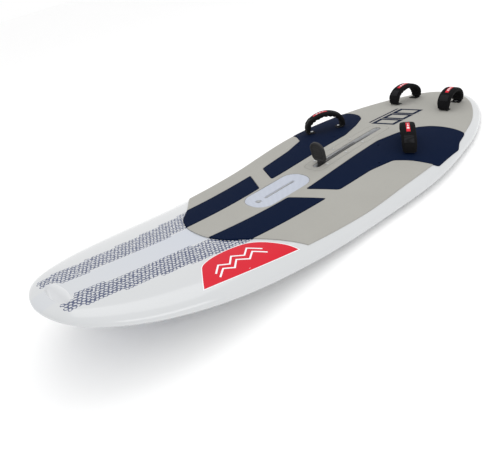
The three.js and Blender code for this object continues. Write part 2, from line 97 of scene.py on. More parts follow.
# ---------- curves ----------
def monotone(points):
    """Monotone cubic through (t, value) pairs."""
    t = [p[0] for p in points]
    v = [p[1] for p in points]
    slope = [(v[i + 1] - v[i]) / (t[i + 1] - t[i]) for i in range(len(t) - 1)]
    tangent = [slope[0]]
    for before, after in zip(slope, slope[1:]):
        tangent.append(0 if before * after <= 0 else 2 / (1 / before + 1 / after))
    tangent.append(slope[-1])

    def at(x):
        i = next((k for k in range(1, len(t)) if x <= t[k]), len(t) - 1) - 1
        span = t[i + 1] - t[i]
        s = min(1, max(0, (x - t[i]) / span))
        rise = v[i + 1] - v[i]
        a = tangent[i] * span
        b = tangent[i + 1] * span
        return v[i] + a * s + (3 * rise - 2 * a - b) * s * s + (a + b - 2 * rise) * s**3

    return at


def station_angle(x):
    return math.asin(min(1, max(-1, x / HALF_LENGTH)))


outline_by_angle = monotone([(station_angle(x), w) for x, w in OUTLINE])
thickness = monotone(THICKNESS)


def half_width(x):
    return outline_by_angle(station_angle(x))


def bottom_z(x):
    return NOSE_ROCKER * (x / HALF_LENGTH) ** 2 if x > 0 else 0


def apex_z(x):
    return bottom_z(x) + RAIL_APEX * thickness(x)


def end_round(x):
    """1 along the hull, falling to 0 in a round end at the nose and the stern."""
    return math.sqrt(max(0, 1 - abs(x / HALF_LENGTH) ** END_POWER))


def deck_z(x, y):
    u = min(1, abs(y) / max(1, half_width(x)))
    dome = math.sqrt(1 - u**4)
    return apex_z(x) + (1 - RAIL_APEX) * thickness(x) * dome * end_round(x)


def resample(points, step, closed=True):
    """The same outline with a point at least every step."""
    out = []
    pairs = list(zip(points, points[1:] + points[:1] if closed else points[1:]))
    for (ax, ay), (bx, by) in pairs:
        count = max(1, math.ceil(math.hypot(bx - ax, by - ay) / step))
        out += [(ax + (bx - ax) * i / count, ay + (by - ay) * i / count) for i in range(count)]
    return out if closed else out + [points[-1]]


def catmull(points, steps=6):
    """A smooth open curve through the points."""
    ends = [points[0], *points, points[-1]]
    out = []
    for p0, p1, p2, p3 in zip(ends, ends[1:], ends[2:], ends[3:]):
        for i in range(steps):
            s = i / steps
            out.append(tuple(
                0.5 * (2 * b + (c - a) * s + (2 * a - 5 * b + 4 * c - d) * s * s
                       + (3 * b - a - 3 * c + d) * s**3)
                for a, b, c, d in zip(p0, p1, p2, p3)
            ))
    return out + [points[-1]]


def fillet(points, radius, steps=5):
    """A closed outline with each corner rounded."""
    out = []
    n = len(points)
    for i, p in enumerate(points):
        p = Vector(p)
        back = Vector(points[i - 1]) - p
        on = Vector(points[(i + 1) % n]) - p
        reach = min(radius, 0.45 * back.length, 0.45 * on.length)
        a = p + back.normalized() * reach
        b = p + on.normalized() * reach
        for k in range(steps + 1):
            s = k / steps
            q = a * (1 - s) ** 2 + p * 2 * s * (1 - s) + b * s * s
            out.append((q.x, q.y))
    return out


def area(points):
    return 0.5 * sum(
        ax * by - bx * ay for (ax, ay), (bx, by) in zip(points, points[1:] + points[:1])
    )


def inset(points, distance):
    """Every edge moved to its left, inwards on an anticlockwise outline."""
    n = len(points)
    normals = []
    for i, (x, y) in enumerate(points):
        nx, ny = points[(i + 1) % n]
        length = math.hypot(nx - x, ny - y) or 1
        normals.append(((y - ny) / length, (nx - x) / length))
    out = []
    for i, (x, y) in enumerate(points):
        ax, ay = normals[i - 1]
        bx, by = normals[i]
        scale = distance / max(0.4, 1 + ax * bx + ay * by)
        out.append((x + (ax + bx) * scale, y + (ay + by) * scale))
    return out


def ellipse(x, y, rx, ry=None, count=40):
    ry = ry or rx
    turn = [2 * math.pi * i / count for i in range(count)]
    return [(x + rx * math.cos(a), y + ry * math.sin(a)) for a in turn]


def rounded_box(x, half_x, half_y, corner, steps=10, y=0):
    out = []
    for quarter, (sx, sy) in enumerate([(1, 1), (-1, 1), (-1, -1), (1, -1)]):
        for i in range(steps + 1):
            a = math.pi / 2 * (quarter + i / steps)
            out.append((
                x + sx * (half_x - corner) + corner * math.cos(a),
                y + sy * (half_y - corner) + corner * math.sin(a),
            ))
    return out


def on_side(points, side):
    return points if side > 0 else [(x, -y) for x, y in reversed(points)]


# ---------- meshes ----------
def piece(name, vertices, faces, material, body="hull", nodes=(), sharp=35):
    """A smooth-shaded object that rides on a body and stands for the CAD nodes named."""
    mesh = bpy.data.meshes.new(name)
    mesh.from_pydata([[c * MM for c in v] for v in vertices], [], faces)
    bm = bmesh.new()
    bm.from_mesh(mesh)
    bmesh.ops.remove_doubles(bm, verts=bm.verts, dist=1e-6)
    bmesh.ops.recalc_face_normals(bm, faces=bm.faces)
    bm.to_mesh(mesh)
    bm.free()
    obj = bpy.data.objects.new(name, mesh)
    bpy.context.collection.objects.link(obj)
    return dress(obj, material, body, nodes, sharp)


def dress(obj, material, body="hull", nodes=(), sharp=35):
    mesh = obj.data
    mesh.polygons.foreach_set("use_smooth", [True] * len(mesh.polygons))
    mesh.set_sharp_from_angle(angle=math.radians(sharp))
    mesh.materials.clear()
    mesh.materials.append(material)
    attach(obj, body)
    if nodes:
        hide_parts(*nodes)
    return obj


def loft(rings, caps=True):
    """Vertices and faces through rings of the same length."""
    n = len(rings[0])
    vertices = [p for ring in rings for p in ring]
    faces = []
    for r in range(len(rings) - 1):
        for i in range(n):
            a = r * n + i
            b = r * n + (i + 1) % n
            faces.append((a, b, b + n, a + n))
    if caps:
        faces.append(tuple(range(n)))
        faces.append(tuple(len(vertices) - n + i for i in range(n)))
    return vertices, faces


def inside(x, y, points):
    hit = False
    for (ax, ay), (bx, by) in zip(points, points[1:] + points[:1]):
        if (ay > y) != (by > y) and x < (bx - ax) * (y - ay) / (by - ay) + ax:
            hit = not hit
    return hit


def fill(outline, holes, spacing):
    """(points, triangles) over an outline with holes, with an even grid of points inside."""
    loops = [outline, *holes]
    points = [Vector(p) for loop in loops for p in loop]
    edges = []
    start = 0
    for loop in loops:
        edges += [(start + i, start + (i + 1) % len(loop)) for i in range(len(loop))]
        start += len(loop)
    if spacing:
        near = 0.45 * spacing
        rims = [p for loop in loops for p in resample(loop, near)]
        taken = {(round(x / near), round(y / near)) for x, y in rims}
        xs = [p[0] for p in outline]
        ys = [p[1] for p in outline]
        y = math.floor(min(ys) / spacing) * spacing
        while y < max(ys):
            x = math.floor(min(xs) / spacing) * spacing
            while x < max(xs):
                cell = (round(x / near), round(y / near))
                clear = all(
                    (cell[0] + i, cell[1] + j) not in taken for i in (-1, 0, 1) for j in (-1, 0, 1)
                )
                if clear and inside(x, y, outline) and not any(inside(x, y, h) for h in holes):
                    points.append(Vector((x, y)))
                x += spacing
            y += spacing
    verts, _, faces, _, _, _ = delaunay_2d_cdt(points, edges, [], 0, 1e-5)
    kept = []
    for face in faces:
        a, b, c = (verts[i] for i in face)
        x, y = (a + b + c) / 3
        flat = abs((b - a).cross(c - a)) < 0.01
        if not flat and inside(x, y, outline) and not any(inside(x, y, h) for h in holes):
            kept.append(tuple(face))
    return [(v.x, v.y) for v in verts], kept


def slab(outline, holes, low, high, radius, place, spacing=None, both=False):
    """A closed plate between two levels with its edges rounded. place(x, y, level) gives the
    point in space. Outlines run anticlockwise and holes clockwise."""
    if area(outline) < 0:
        outline = outline[::-1]
    holes = [h if area(h) < 0 else h[::-1] for h in holes]
    arc = [(radius * (1 - math.sin(a)), radius * (1 - math.cos(a)))
           for a in (math.radians(d) for d in (90, 65, 40, 15, 0))]
    upper = [(dist, high - drop) for dist, drop in arc]
    lower = [(dist, low + drop) for dist, drop in reversed(arc)] if both else [(0, low)]
    vertices = []
    faces = []
    for loop in [outline, *holes]:
        n = len(loop)
        start = len(vertices)
        levels = [*lower, *upper]
        for dist, level in levels:
            vertices += [place(x, y, level) for x, y in inset(loop, dist)]
        for r in range(len(levels) - 1):
            for i in range(n):
                a = start + r * n + i
                b = start + r * n + (i + 1) % n
                faces.append((a, b, b + n, a + n))
    for (dist, level), grid in ((upper[-1], spacing), (lower[0], spacing if both else None)):
        flat, triangles = fill(inset(outline, dist), [inset(h, dist) for h in holes], grid)
        start = len(vertices)
        vertices += [place(x, y, level) for x, y in flat]
        faces += [tuple(start + i for i in t) for t in triangles]
    return vertices, faces


def on_deck(x, y, level):
    return x, y, deck_z(x, y) + level


def side_on(x, z, level):
    """A level in the side view stands out sideways from the centre line."""
    return PIVOT[0] + x, level, PIVOT[1] + z


def cutter(name, prisms):
    """One closed mesh of upright prisms, each given as (outline, low, high)."""
    vertices = []
    faces = []
    for points, low, high in prisms:
        start = len(vertices)
        some, sides = loft([[(x, y, z) for x, y in points] for z in (low, high)])
        vertices += some
        faces += [tuple(start + i for i in face) for face in sides]
    mesh = bpy.data.meshes.new(name)
    mesh.from_pydata([[c * MM for c in v] for v in vertices], [], faces)
    bm = bmesh.new()
    bm.from_mesh(mesh)
    bmesh.ops.recalc_face_normals(bm, faces=bm.faces)
    bm.to_mesh(mesh)
    bm.free()
    obj = bpy.data.objects.new(name, mesh)
    bpy.context.collection.objects.link(obj)
    return obj


def cut(obj, tool):
    """obj with the tool's shape taken out of it, for good."""
    modifier = obj.modifiers.new(tool.name, "BOOLEAN")
    modifier.operation = "DIFFERENCE"
    modifier.solver = "EXACT"
    modifier.object = tool
    bpy.context.view_layer.update()
    graph = bpy.context.evaluated_depsgraph_get()
    mesh = bpy.data.meshes.new_from_object(obj.evaluated_get(graph))
    obj.modifiers.clear()
    obj.data = mesh
    bpy.data.objects.remove(tool)


# ---------- materials ----------
class Nodes:
    """Short names for building a shader tree."""

    def __init__(self, name):
        self.material = bpy.data.materials.new(name)
        self.material.use_nodes = True
        self.tree = self.material.node_tree
        self.shader = self.tree.nodes["Principled BSDF"]
        self.coord = self.tree.nodes.new("ShaderNodeTexCoord").outputs["Object"]

    def put(self, socket, value):
        if hasattr(value, "is_output"):
            self.tree.links.new(value, socket)
        else:
            socket.default_value = value

    def node(self, kind, inputs=None, **settings):
        made = self.tree.nodes.new(kind)
        for key, value in settings.items():
            setattr(made, key, value)
        for key, value in (inputs or {}).items():
            self.put(made.inputs[key], value)
        return made

    def math(self, operation, a, b=0.0, clamp=False):
        return self.node("ShaderNodeMath", {0: a, 1: b}, operation=operation,
                         use_clamp=clamp).outputs[0]

    def xyz(self, vector=None):
        split = self.node("ShaderNodeSeparateXYZ", {0: vector or self.coord})
        return split.outputs[0], split.outputs[1], split.outputs[2]

    def ramp(self, value, low, high, start=0.0, end=1.0):
        return self.node("ShaderNodeMapRange", {
            "Value": value, "From Min": low, "From Max": high, "To Min": start, "To Max": end,
        }).outputs["Result"]

    def noise(self, scale, detail=3.0, vector=None, roughness=0.5):
        return self.node("ShaderNodeTexNoise", {
            "Vector": vector or self.coord, "Scale": scale, "Detail": detail,
            "Roughness": roughness,
        }).outputs["Fac"]

    def mix(self, factor, a, b):
        made = self.node("ShaderNodeMix", data_type="RGBA")
        self.put(made.inputs[0], factor)
        self.put(made.inputs[6], a)
        self.put(made.inputs[7], b)
        return made.outputs[2]

    def bump(self, height, distance, strength=1.0, normal=None):
        inputs = {"Height": height, "Distance": distance, "Strength": strength}
        if normal is not None:
            inputs["Normal"] = normal
        return self.node("ShaderNodeBump", inputs).outputs["Normal"]

    def set(self, **values):
        names = {
            "base": "Base Color", "rough": "Roughness", "metal": "Metallic", "normal": "Normal",
            "coat": "Coat Weight", "coat_rough": "Coat Roughness", "sheen": "Sheen Weight",
            "specular": "Specular IOR Level",
        }
        for key, value in values.items():
            self.put(self.shader.inputs[names[key]], value)
        return self.material


def plain(name, colour, rough, speckle=0.06, grain=400, bump=0.0001, **more):
    """A one-colour material with a faint mottle and a fine surface grain."""
    m = Nodes(name)
    dark = [c * (1 - speckle) for c in colour]
    light = [min(1, c * (1 + speckle)) for c in colour]
    base = m.mix(m.noise(9.0), (*dark, 1), (*light, 1))
    normal = m.bump(m.noise(grain, 2.0), bump, 0.5)
    return m.set(base=base, rough=rough, normal=normal, **more)


def piecewise(m, x, points):
    """A value that follows (x, value) pairs in straight runs."""
    total = points[0][1]
    for (ax, av), (bx, bv) in zip(points, points[1:]):
        total = m.math("ADD", total, m.ramp(x, ax, bx, 0.0, bv - av))
    return total


def hex_cells(m, size):
    """(distance to the cell's edge, the cell's centre) of a honeycomb seen from above."""
    half = (0.5, 0.8660254, 0.5)
    flat = m.node("ShaderNodeMapping", {"Vector": m.coord, "Scale": (1 / size, 1 / size, 0)})
    point = flat.outputs[0]

    def vector(operation, a, b=(0, 0, 0), c=(0, 0, 0)):
        return m.node("ShaderNodeVectorMath", {0: a, 1: b, 2: c}, operation=operation)

    low = tuple(-h for h in half)
    first = vector("WRAP", point, half, low).outputs[0]
    second = vector("WRAP", vector("ADD", point, (0.5, 0.8660254, 0)).outputs[0], half, low).outputs[0]
    nearer = m.math("LESS_THAN", vector("LENGTH", second).outputs["Value"],
                    vector("LENGTH", first).outputs["Value"])
    offset = m.mix(nearer, first, second)
    ax, ay, _ = m.xyz(vector("ABSOLUTE", offset).outputs[0])
    slope = m.math("ADD", m.math("MULTIPLY", ax, 0.5), m.math("MULTIPLY", ay, 0.8660254))
    edge = m.math("SUBTRACT", 0.5, m.math("MAXIMUM", ax, slope))
    centre = vector("SCALE", vector("SUBTRACT", point, offset).outputs[0])
    m.put(centre.inputs["Scale"], size)
    return edge, centre.outputs[0]


def hull_material():
    """Glossy white with two bands of navy cells along the nose and a pale stripe between."""
    m = Nodes("hull_white")
    x, y, _ = m.xyz()
    edge, centre = hex_cells(m, 0.0145)
    line = m.math("LESS_THAN", edge, m.ramp(m.noise(220.0, 1.0), 0.35, 0.65, 0.10, 0.32))
    breaks = m.math("GREATER_THAN", m.noise(150.0, 1.0), 0.36)
    cx, cy, _ = m.xyz(centre)
    across = m.math("ABSOLUTE", cy)
    outer = piecewise(m, cx, [(0.525, 0.193), (0.716, 0.168), (0.9, 0.147), (1.15, 0.122)])
    inner = piecewise(m, cx, [(0.606, 0.066), (0.75, 0.060), (1.015, 0.050), (1.11, 0.047)])
    band = m.math("MULTIPLY", m.math("LESS_THAN", across, outer),
                  m.math("GREATER_THAN", across, inner))
    band = m.math("MULTIPLY", band, m.math("LESS_THAN", cx, 1.162))
    from_x = m.math("DIVIDE", m.math("SUBTRACT", cx, HANDLE["x"] * MM), 0.047)
    from_y = m.math("DIVIDE", cy, 0.069)
    ring = m.math("ADD", m.math("MULTIPLY", from_x, from_x), m.math("MULTIPLY", from_y, from_y))
    band = m.math("MULTIPLY", band, m.math("GREATER_THAN", ring, 1.0))
    band = m.math("MULTIPLY", m.math("MULTIPLY", band, line), breaks)
    deck = m.math("GREATER_THAN", m.xyz()[2], 0.05)
    band = m.math("MULTIPLY", band, deck)
    stripe = m.ramp(m.math("SUBTRACT", inner, m.math("ABSOLUTE", y)), -0.004, 0.006)
    stripe = m.math("MULTIPLY", stripe, m.ramp(x, 1.12, 0.62, 0.25, 0.9))
    stripe = m.math("MULTIPLY", stripe, m.math("MULTIPLY", deck, m.math("GREATER_THAN", x, 0.3)))
    white = m.mix(m.noise(3.0), (0.54, 0.555, 0.565, 1), (0.58, 0.59, 0.60, 1))
    base = m.mix(stripe, white, (0.48, 0.51, 0.575, 1))
    base = m.mix(band, base, (0.012, 0.03, 0.11, 1))
    rough = m.ramp(m.noise(30.0), 0.3, 0.7, 0.12, 0.2)
    return m.set(base=base, rough=rough, coat=0.6, coat_rough=0.06,
                 normal=m.bump(m.noise(18.0, 1.0), 0.0004, 0.15))


def pad_material(name, colour, specular, groove=0.0005):
    """EVA foam with a pressed diamond grid and a light powdery grain."""
    m = Nodes(name)
    turned = m.node("ShaderNodeMapping", {"Vector": m.coord, "Rotation": (0, 0, math.pi / 4)})
    x, y, _ = m.xyz(turned.outputs[0])
    wave = [m.math("ABSOLUTE", m.math("SINE", m.math("MULTIPLY", axis, 780.0))) for axis in (x, y)]
    diamond = m.math("MINIMUM", wave[0], wave[1])
    diamond = m.ramp(diamond, 0.0, 0.45)
    grain = m.noise(900.0, 2.0)
    normal = m.bump(diamond, groove, 0.35)
    normal = m.bump(grain, 0.0003, 0.5, normal)
    shade = m.math("ADD", m.math("MULTIPLY", m.noise(6.0), 0.5), m.math("MULTIPLY", grain, 0.5))
    dark = tuple(c * 0.90 for c in colour)
    light = tuple(min(1, c * 1.08) for c in colour)
    base = m.mix(shade, (*dark, 1), (*light, 1))
    # Painted shade: the colour runs darker, toward half the foam colour, down in the pressed diamond
    # grooves.
    base = m.mix(m.ramp(diamond, 0.0, 1.0, 0.16, 0.0), base, (*[c * 0.5 for c in colour], 1))
    return m.set(base=base, rough=0.82, normal=normal, specular=specular)


def plate_material():
    """Pale plastic with close diagonal ribs."""
    m = Nodes("plate_ribbed")
    turned = m.node("ShaderNodeMapping", {"Vector": m.coord, "Rotation": (0, 0, 0.82)})
    x, _, _ = m.xyz(turned.outputs[0])
    rib = m.ramp(m.math("SINE", m.math("MULTIPLY", x, 1250.0)), -0.6, 0.6)
    # Painted shade and painted highlight: the colour runs darker in the rib troughs and lighter on the
    # rib crests.
    base = m.mix(rib, (0.38, 0.41, 0.49, 1), (0.52, 0.555, 0.63, 1))
    return m.set(base=base, rough=0.45, normal=m.bump(rib, 0.0006, 0.7))


def neoprene_material():
    """Black neoprene with a fine knit and a faint random mottle."""
    m = Nodes("neoprene")
    x, y, z = m.xyz()
    knit = m.math("MULTIPLY", m.math("SINE", m.math("MULTIPLY", m.math("ADD", x, z), 2600.0)),
                  m.math("SINE", m.math("MULTIPLY", m.math("SUBTRACT", y, z), 2600.0)))
    base = m.mix(m.noise(40.0), (0.003, 0.003, 0.0035, 1), (0.008, 0.008, 0.009, 1))
    normal = m.bump(knit, 0.0002, 0.5)
    normal = m.bump(m.noise(70.0, 4.0), 0.003, 0.45, normal)
    return m.set(base=base, rough=0.85, specular=0.1, normal=normal)


def webbing_material():
    """Woven nylon with a herringbone of fine ribs."""
    m = Nodes("webbing")
    x, y, z = m.xyz()
    weave = m.math("SINE", m.math("MULTIPLY", m.math("ADD", m.math("ADD", x, y), z), 1800.0))
    # Painted shade and painted highlight: the colour runs darker in the weave's grooves and lighter on
    # its ribs.
    base = m.mix(m.ramp(weave, -1, 1), (0.004, 0.004, 0.005, 1), (0.014, 0.014, 0.016, 1))
    return m.set(base=base, rough=0.7, specular=0.15, normal=m.bump(weave, 0.0004, 0.6))


def steel_material():
    """Brushed stainless steel."""
    m = Nodes("stainless")
    brushed = m.node("ShaderNodeMapping", {"Vector": m.coord, "Scale": (60, 900, 60)}).outputs[0]
    fine = m.noise(2.0, 3.0, brushed)
    base = m.mix(fine, (0.42, 0.43, 0.44, 1), (0.66, 0.67, 0.68, 1))
    return m.set(base=base, metal=1.0, rough=m.ramp(fine, 0.3, 0.7, 0.22, 0.38),
                 normal=m.bump(fine, 0.0001, 0.3))


def foam_material():
    """Moulded white beads."""
    m = Nodes("bead_foam")
    bead = m.node("ShaderNodeTexVoronoi", {"Vector": m.coord, "Scale": 260.0},
                  feature="DISTANCE_TO_EDGE").outputs["Distance"]
    # Painted shade: the colour runs darker in the crevices at the bead edges.
    base = m.mix(m.ramp(bead, 0.0, 0.2), (0.62, 0.61, 0.57, 1), (0.86, 0.85, 0.81, 1))
    return m.set(base=base, rough=0.9, normal=m.bump(bead, 0.002, 0.6))


HULL = hull_material()
GREY = pad_material("eva_grey", (0.375, 0.368, 0.34), 0.2)
NAVY = pad_material("eva_navy", (0.0028, 0.0085, 0.03), 0.05)
PLATE = plate_material()
NEOPRENE = neoprene_material()
WEBBING = webbing_material()
STEEL = steel_material()
FOAM = foam_material()
WHITE = plain("white_moulding", (0.66, 0.67, 0.685), 0.28, coat=0.2)
BLACK = plain("black_composite", (0.010, 0.010, 0.011), 0.35, coat=0.15)
RUBBER = plain("black_rubber", (0.013, 0.013, 0.014), 0.62, grain=1200, bump=0.0003)
VENT_GREY = plain("vent_grey", (0.36, 0.37, 0.39), 0.4)
RED = plain("decal_red", (0.60, 0.006, 0.022), 0.35, speckle=0.03, specular=0.2)
DECAL_WHITE = plain("decal_white", (0.80, 0.82, 0.84), 0.3, speckle=0.02)
NAVY_PRINT = plain("navy_print", (0.0028, 0.0085, 0.03), 0.75, grain=900, bump=0.0003,
                   specular=0.1)


# ---------- hull ----------
def hull_piece(name, upper, tool):
    """The deck half or the bottom half of the laminate, with its openings cut."""
    gaps = 170
    last = math.radians(88.8)
    angles = [last * math.sin(math.pi / 2 * (2 * i / gaps - 1)) for i in range(gaps + 1)]
    around = 34 if upper else 22
    rings = []
    for angle in angles:
        x = HALF_LENGTH * math.sin(angle)
        w = half_width(x)
        end = end_round(x)
        half = []
        for i in range(around + 1):
            turn = math.pi / 2 * i / around
            if upper:
                reach = math.sqrt(math.sin(turn))
                rise = (1 - RAIL_APEX) * thickness(x) * math.cos(turn) * end
            else:
                reach = math.sin(turn) ** 0.4
                rise = -RAIL_APEX * thickness(x) * math.cos(turn) * end
            half.append((w * reach, apex_z(x) + rise))
        line = [(x, -y, z) for y, z in reversed(half[1:])] + [(x, y, z) for y, z in half]
        rings.append(line)
    n = len(rings[0])
    vertices = [p for ring in rings for p in ring]
    faces = []
    for r in range(len(rings) - 1):
        for i in range(n - 1):
            a = r * n + i
            faces.append((a, a + n, a + n + 1, a + 1) if upper else (a, a + 1, a + n + 1, a + n))
    mesh = bpy.data.meshes.new(name)
    mesh.from_pydata([[c * MM for c in v] for v in vertices], [], faces)
    obj = bpy.data.objects.new(name, mesh)
    bpy.context.collection.objects.link(obj)
    solid = obj.modifiers.new("thickness", "SOLIDIFY")
    solid.thickness = SKIN * MM
    solid.offset = -1.0
    cut(obj, tool)
    return obj


def slot_outline(grow):
    middle = (SLOT["front"] + SLOT["back"]) / 2
    reach = (SLOT["front"] - SLOT["back"]) / 2 + grow
    return rounded_box(middle, reach, SLOT["half"] + grow, SLOT["half"] + grow - 1)


def track_outline(longer, wider):
    return rounded_box(TRACK["x"], TRACK["half_length"] + longer, TRACK["half_width"] + wider, 6)


def fin_outline(grow):
    return rounded_box(FIN["x"], FIN["half_length"] + grow, FIN["half_width"] + grow, 6)


def build_hull():
    deck = hull_piece("deck_skin", True, cutter("deck_openings", [
        (slot_outline(SLOT["wall"]), -20, 300),
        (ellipse(HANDLE["x"], 0, HANDLE["rx"], HANDLE["ry"], 64), 100, 400),
        (track_outline(0, 2), 60, 300),
        (ellipse(VENT["x"], 0, VENT["insert"] + 0.3), 60, 300),
    ]))
    dress(deck, HULL, nodes=["deck_shell"], sharp=40)
    bottom = hull_piece("bottom_skin", False, cutter("bottom_openings", [
        (slot_outline(SLOT["wall"]), -20, 60),
        (fin_outline(0), -20, 30),
    ]))
    dress(bottom, HULL, nodes=["bottom_shell"], sharp=40)


def screw_points(row, side):
    """Where a strap's two screws go into the deck."""
    x, y, yaw, _ = STRAPS[row]
    yaw = math.radians(yaw)
    return [(x + d * math.cos(yaw), side * (y + d * math.sin(yaw))) for d in (-68, 68)]


def build_foam():
    """The foam inside the laminate, with a pocket for every fitting."""
    inside_skin = SKIN + 0.4
    clear = 0.5
    longest = 1205
    rings = []
    for step in range(121):
        x = longest * math.sin(math.pi / 2 * (step / 60 - 1))
        w = half_width(x) - inside_skin
        half = []
        for i in range(41):
            turn = math.pi * i / 40
            u = math.sqrt(math.sin(turn)) if turn < math.pi / 2 else math.sin(turn) ** 0.4
            depth = RAIL_APEX if turn > math.pi / 2 else 1 - RAIL_APEX
            lean = math.cos(turn)
            z = apex_z(x) + depth * thickness(x) * lean * end_round(x)
            z -= math.copysign(inside_skin, lean) * (1 - u**8)
            half.append((x, w * u, z))
        rings.append(half + [(px, -py, pz) for px, py, pz in reversed(half[1:-1])])
    vertices, faces = loft(rings)
    foam = piece("foam_fill", vertices, faces, FOAM)
    scoop_x = HANDLE["x"] + HANDLE["undercut"] / 2
    scoop_rx = HANDLE["rx"] + HANDLE["undercut"] / 2 + 4
    vent_floor = deck_z(VENT["x"], 0) - VENT["depth"] - clear
    pockets = [
        (slot_outline(SLOT["wall"] + 0.4), -20, 300),
        (ellipse(scoop_x, 0, scoop_rx, HANDLE["ry"] + 4), 205, 400),
        (track_outline(1, 1), 80, 300),
        (fin_outline(1), -20, FIN["depth"] + clear),
        (ellipse(VENT["x"], 0, VENT["insert"] + 0.6), vent_floor, 300),
    ]
    plugs = [(x, side * y) for x, y in SPARE_PLUGS for side in SIDES.values()]
    plugs += [at for row in STRAPS for side in SIDES.values() for at in screw_points(row, side)]
    for x, y in plugs:
        hole = ellipse(x, y, PLUG["r"] + clear, count=16)
        pockets.append((hole, deck_z(x, y) - PLUG["depth"] - 4, 300))
    cut(foam, cutter("pockets", pockets))
    dress(foam, FOAM, nodes=["foam_core"])


def build_scoop():
    """The carry scoop: a steep undercut front wall and a gentle slope behind it."""
    cx, rx, ry = HANDLE["x"], HANDLE["rx"], HANDLE["ry"]
    flat, triangles = fill(ellipse(cx, 0, rx, ry, 64), [], 3.0)
    vertices = []
    for x, y in flat:
        across = math.sqrt(max(0, 1 - (y / ry) ** 2))
        s = min(1, max(-1, (x - cx) / (rx * max(0.02, across))))
        steep = 1 - max(0, s) ** 5
        drop = across * steep * math.sin(math.pi / 2 * min(1, 0.62 * (1 + s))) ** 1.5
        shift = HANDLE["undercut"] * max(0, s) * drop**2
        vertices.append((x + shift, y, deck_z(x, y) - HANDLE["depth"] * drop))
    piece("nose_scoop", vertices, triangles, WHITE, nodes=["nose_handle_cup"],
          sharp=80)


build_hull()
build_foam()
build_scoop()


# ---------- deck pads ----------
def pad_outline():
    port = catmull(PAD_FRONT)[:-1] + catmull(PAD_SIDE)
    starboard = [(x, -y) for x, y in reversed(port[1:-1])]
    return resample(port + starboard, 14)


def front_navy(side):
    """The pad's front arc between the two long edges, closed by the slanted aft edge."""
    arc = [p for p in catmull(PAD_FRONT, 10) if 65 < p[1] < 196]
    return on_side(resample(fillet([*arc, *NAVY_FRONT], 9), 12), side)


def rear_navy(side):
    return on_side(resample(fillet(NAVY_REAR, 14), 12), side)


def plate_outline(grow):
    half_length, half_width = MAST["half_length"] + grow, MAST["half_width"] + grow
    return rounded_box(MAST["x"], half_length, half_width, MAST["corner"] + grow, 14)


def frame_outline(grow):
    middle = (FRAME_RIM["front"] + FRAME_RIM["back"]) / 2
    reach = (FRAME_RIM["front"] - FRAME_RIM["back"]) / 2
    return resample(rounded_box(middle, reach + grow, FRAME_RIM["half"] + grow, 30 + grow), 14)


def spare_holes(side):
    return [ellipse(x, side * y, PLUG["hole"], count=14) for x, y in SPARE_PLUGS]


def build_pads():
    grey_holes = [plate_outline(1.5), frame_outline(0.8)]
    for side in SIDES.values():
        grey_holes.append(spare_holes(side)[2])
    vertices, faces = slab(pad_outline(), grey_holes, 0.3, PAD_GREY, 1.8, on_deck, 15)
    pad = piece("deck_pad_grey", vertices, faces, GREY, nodes=["deck_pad"])
    windows = []
    for name, side in SIDES.items():
        for row, points in (("front", front_navy(side)), ("rear", rear_navy(side))):
            if area(points) < 0:
                points = points[::-1]
            windows.append((inset(points, -2.0), 20, 300))
            holes = spare_holes(side)[:2] if row == "rear" else []
            vertices, faces = slab(inset(points, 0.6), holes, 0.3, PAD_NAVY, 1.8, on_deck, 15)
            piece(f"navy_{row}_{name}", vertices, faces, NAVY,
                  nodes=[f"navy_pad_{row}_{name}"])
    cut(pad, cutter("pad_windows", windows))
    pad.data.set_sharp_from_angle(angle=math.radians(35))


build_pads()


# ---------- deck fittings ----------
def build_plate():
    slot = rounded_box(TRACK["x"], 88, TRACK["half_slot"] + 2, 6, 8)
    vent = ellipse(VENT["x"], 0, VENT["insert"] + 1, count=32)
    outline = resample(plate_outline(0), 12)
    vertices, faces = slab(outline, [slot, vent], 0.3, MAST["plate"], 1.0, on_deck, 14)
    piece("mast_plate_ribbed", vertices, faces, PLATE, nodes=["mast_plate"])


def build_frame():
    vertices, faces = slab(frame_outline(0), [resample(slot_outline(1), 14)], 0.3,
                           FRAME_RIM["height"], 1.2, on_deck, 14)
    piece("slot_rim", vertices, faces, GREY, nodes=["slot_frame"])


def build_blade():
    outline = resample(fillet(BLADE, 16), 10)
    vertices, faces = slab(outline, [ellipse(0, 0, 5.4, count=24)], -11, 11, 6, side_on, 14, True)
    piece("blade_moulded", vertices, faces, BLACK, body="daggerboard",
          nodes=["daggerboard_blade"])


def build_lever():
    """Foot lever: a rubber paddle with a raised rim round a ribbed recess, on a stem."""
    half, top, bottom, thick = 38, 147, 53, 13
    tongue = [(half * math.cos(a), top - half + half * math.sin(a))
              for a in (math.pi * i / 24 for i in range(25))]
    outline = [(-half + 12, bottom), (half - 12, bottom), (half - 1, bottom + 14), *tongue,
               (-half + 1, bottom + 14)]
    outline = resample(fillet(outline, 7), 5)

    def place(y, z, level):
        lean = 52 + 14 * (z - bottom) / (top - bottom)
        hollow = 0
        edge = min(
            math.hypot(y - a, z - b) for a, b in outline
        )
        if level > thick - 3 and edge > 7:
            hollow = 4.0 * min(1, (edge - 7) / 3)
            hollow -= 1.2 * max(0, math.sin(z * 0.55)) if edge > 12 else 0
        return PIVOT[0] + lean + level - hollow, y, PIVOT[1] + z

    vertices, faces = slab(outline, [], 0, thick, 4, place, 2.6, True)
    piece("lever_paddle", vertices, faces, RUBBER, body="daggerboard",
          nodes=["daggerboard_lever"], sharp=50)
    stem = [(32, 22), (70, 22), (70, 60), (56, 60), (32, 44)]
    vertices, faces = slab(resample(fillet(stem, 5), 8), [], -9, 9, 3, side_on, None, True)
    piece("lever_stem", vertices, faces, RUBBER, body="daggerboard")


build_plate()
build_frame()
build_blade()
build_lever()


# ---------- foot straps ----------
FOOT = 90
ARCH_HEIGHT = 84


def arch_point(angle):
    swell = 1 + 0.09 * math.sin(2 * min(angle, math.pi - angle))
    return (-FOOT * swell * math.cos(angle), ARCH_HEIGHT * max(0, math.sin(angle)) ** 0.85)


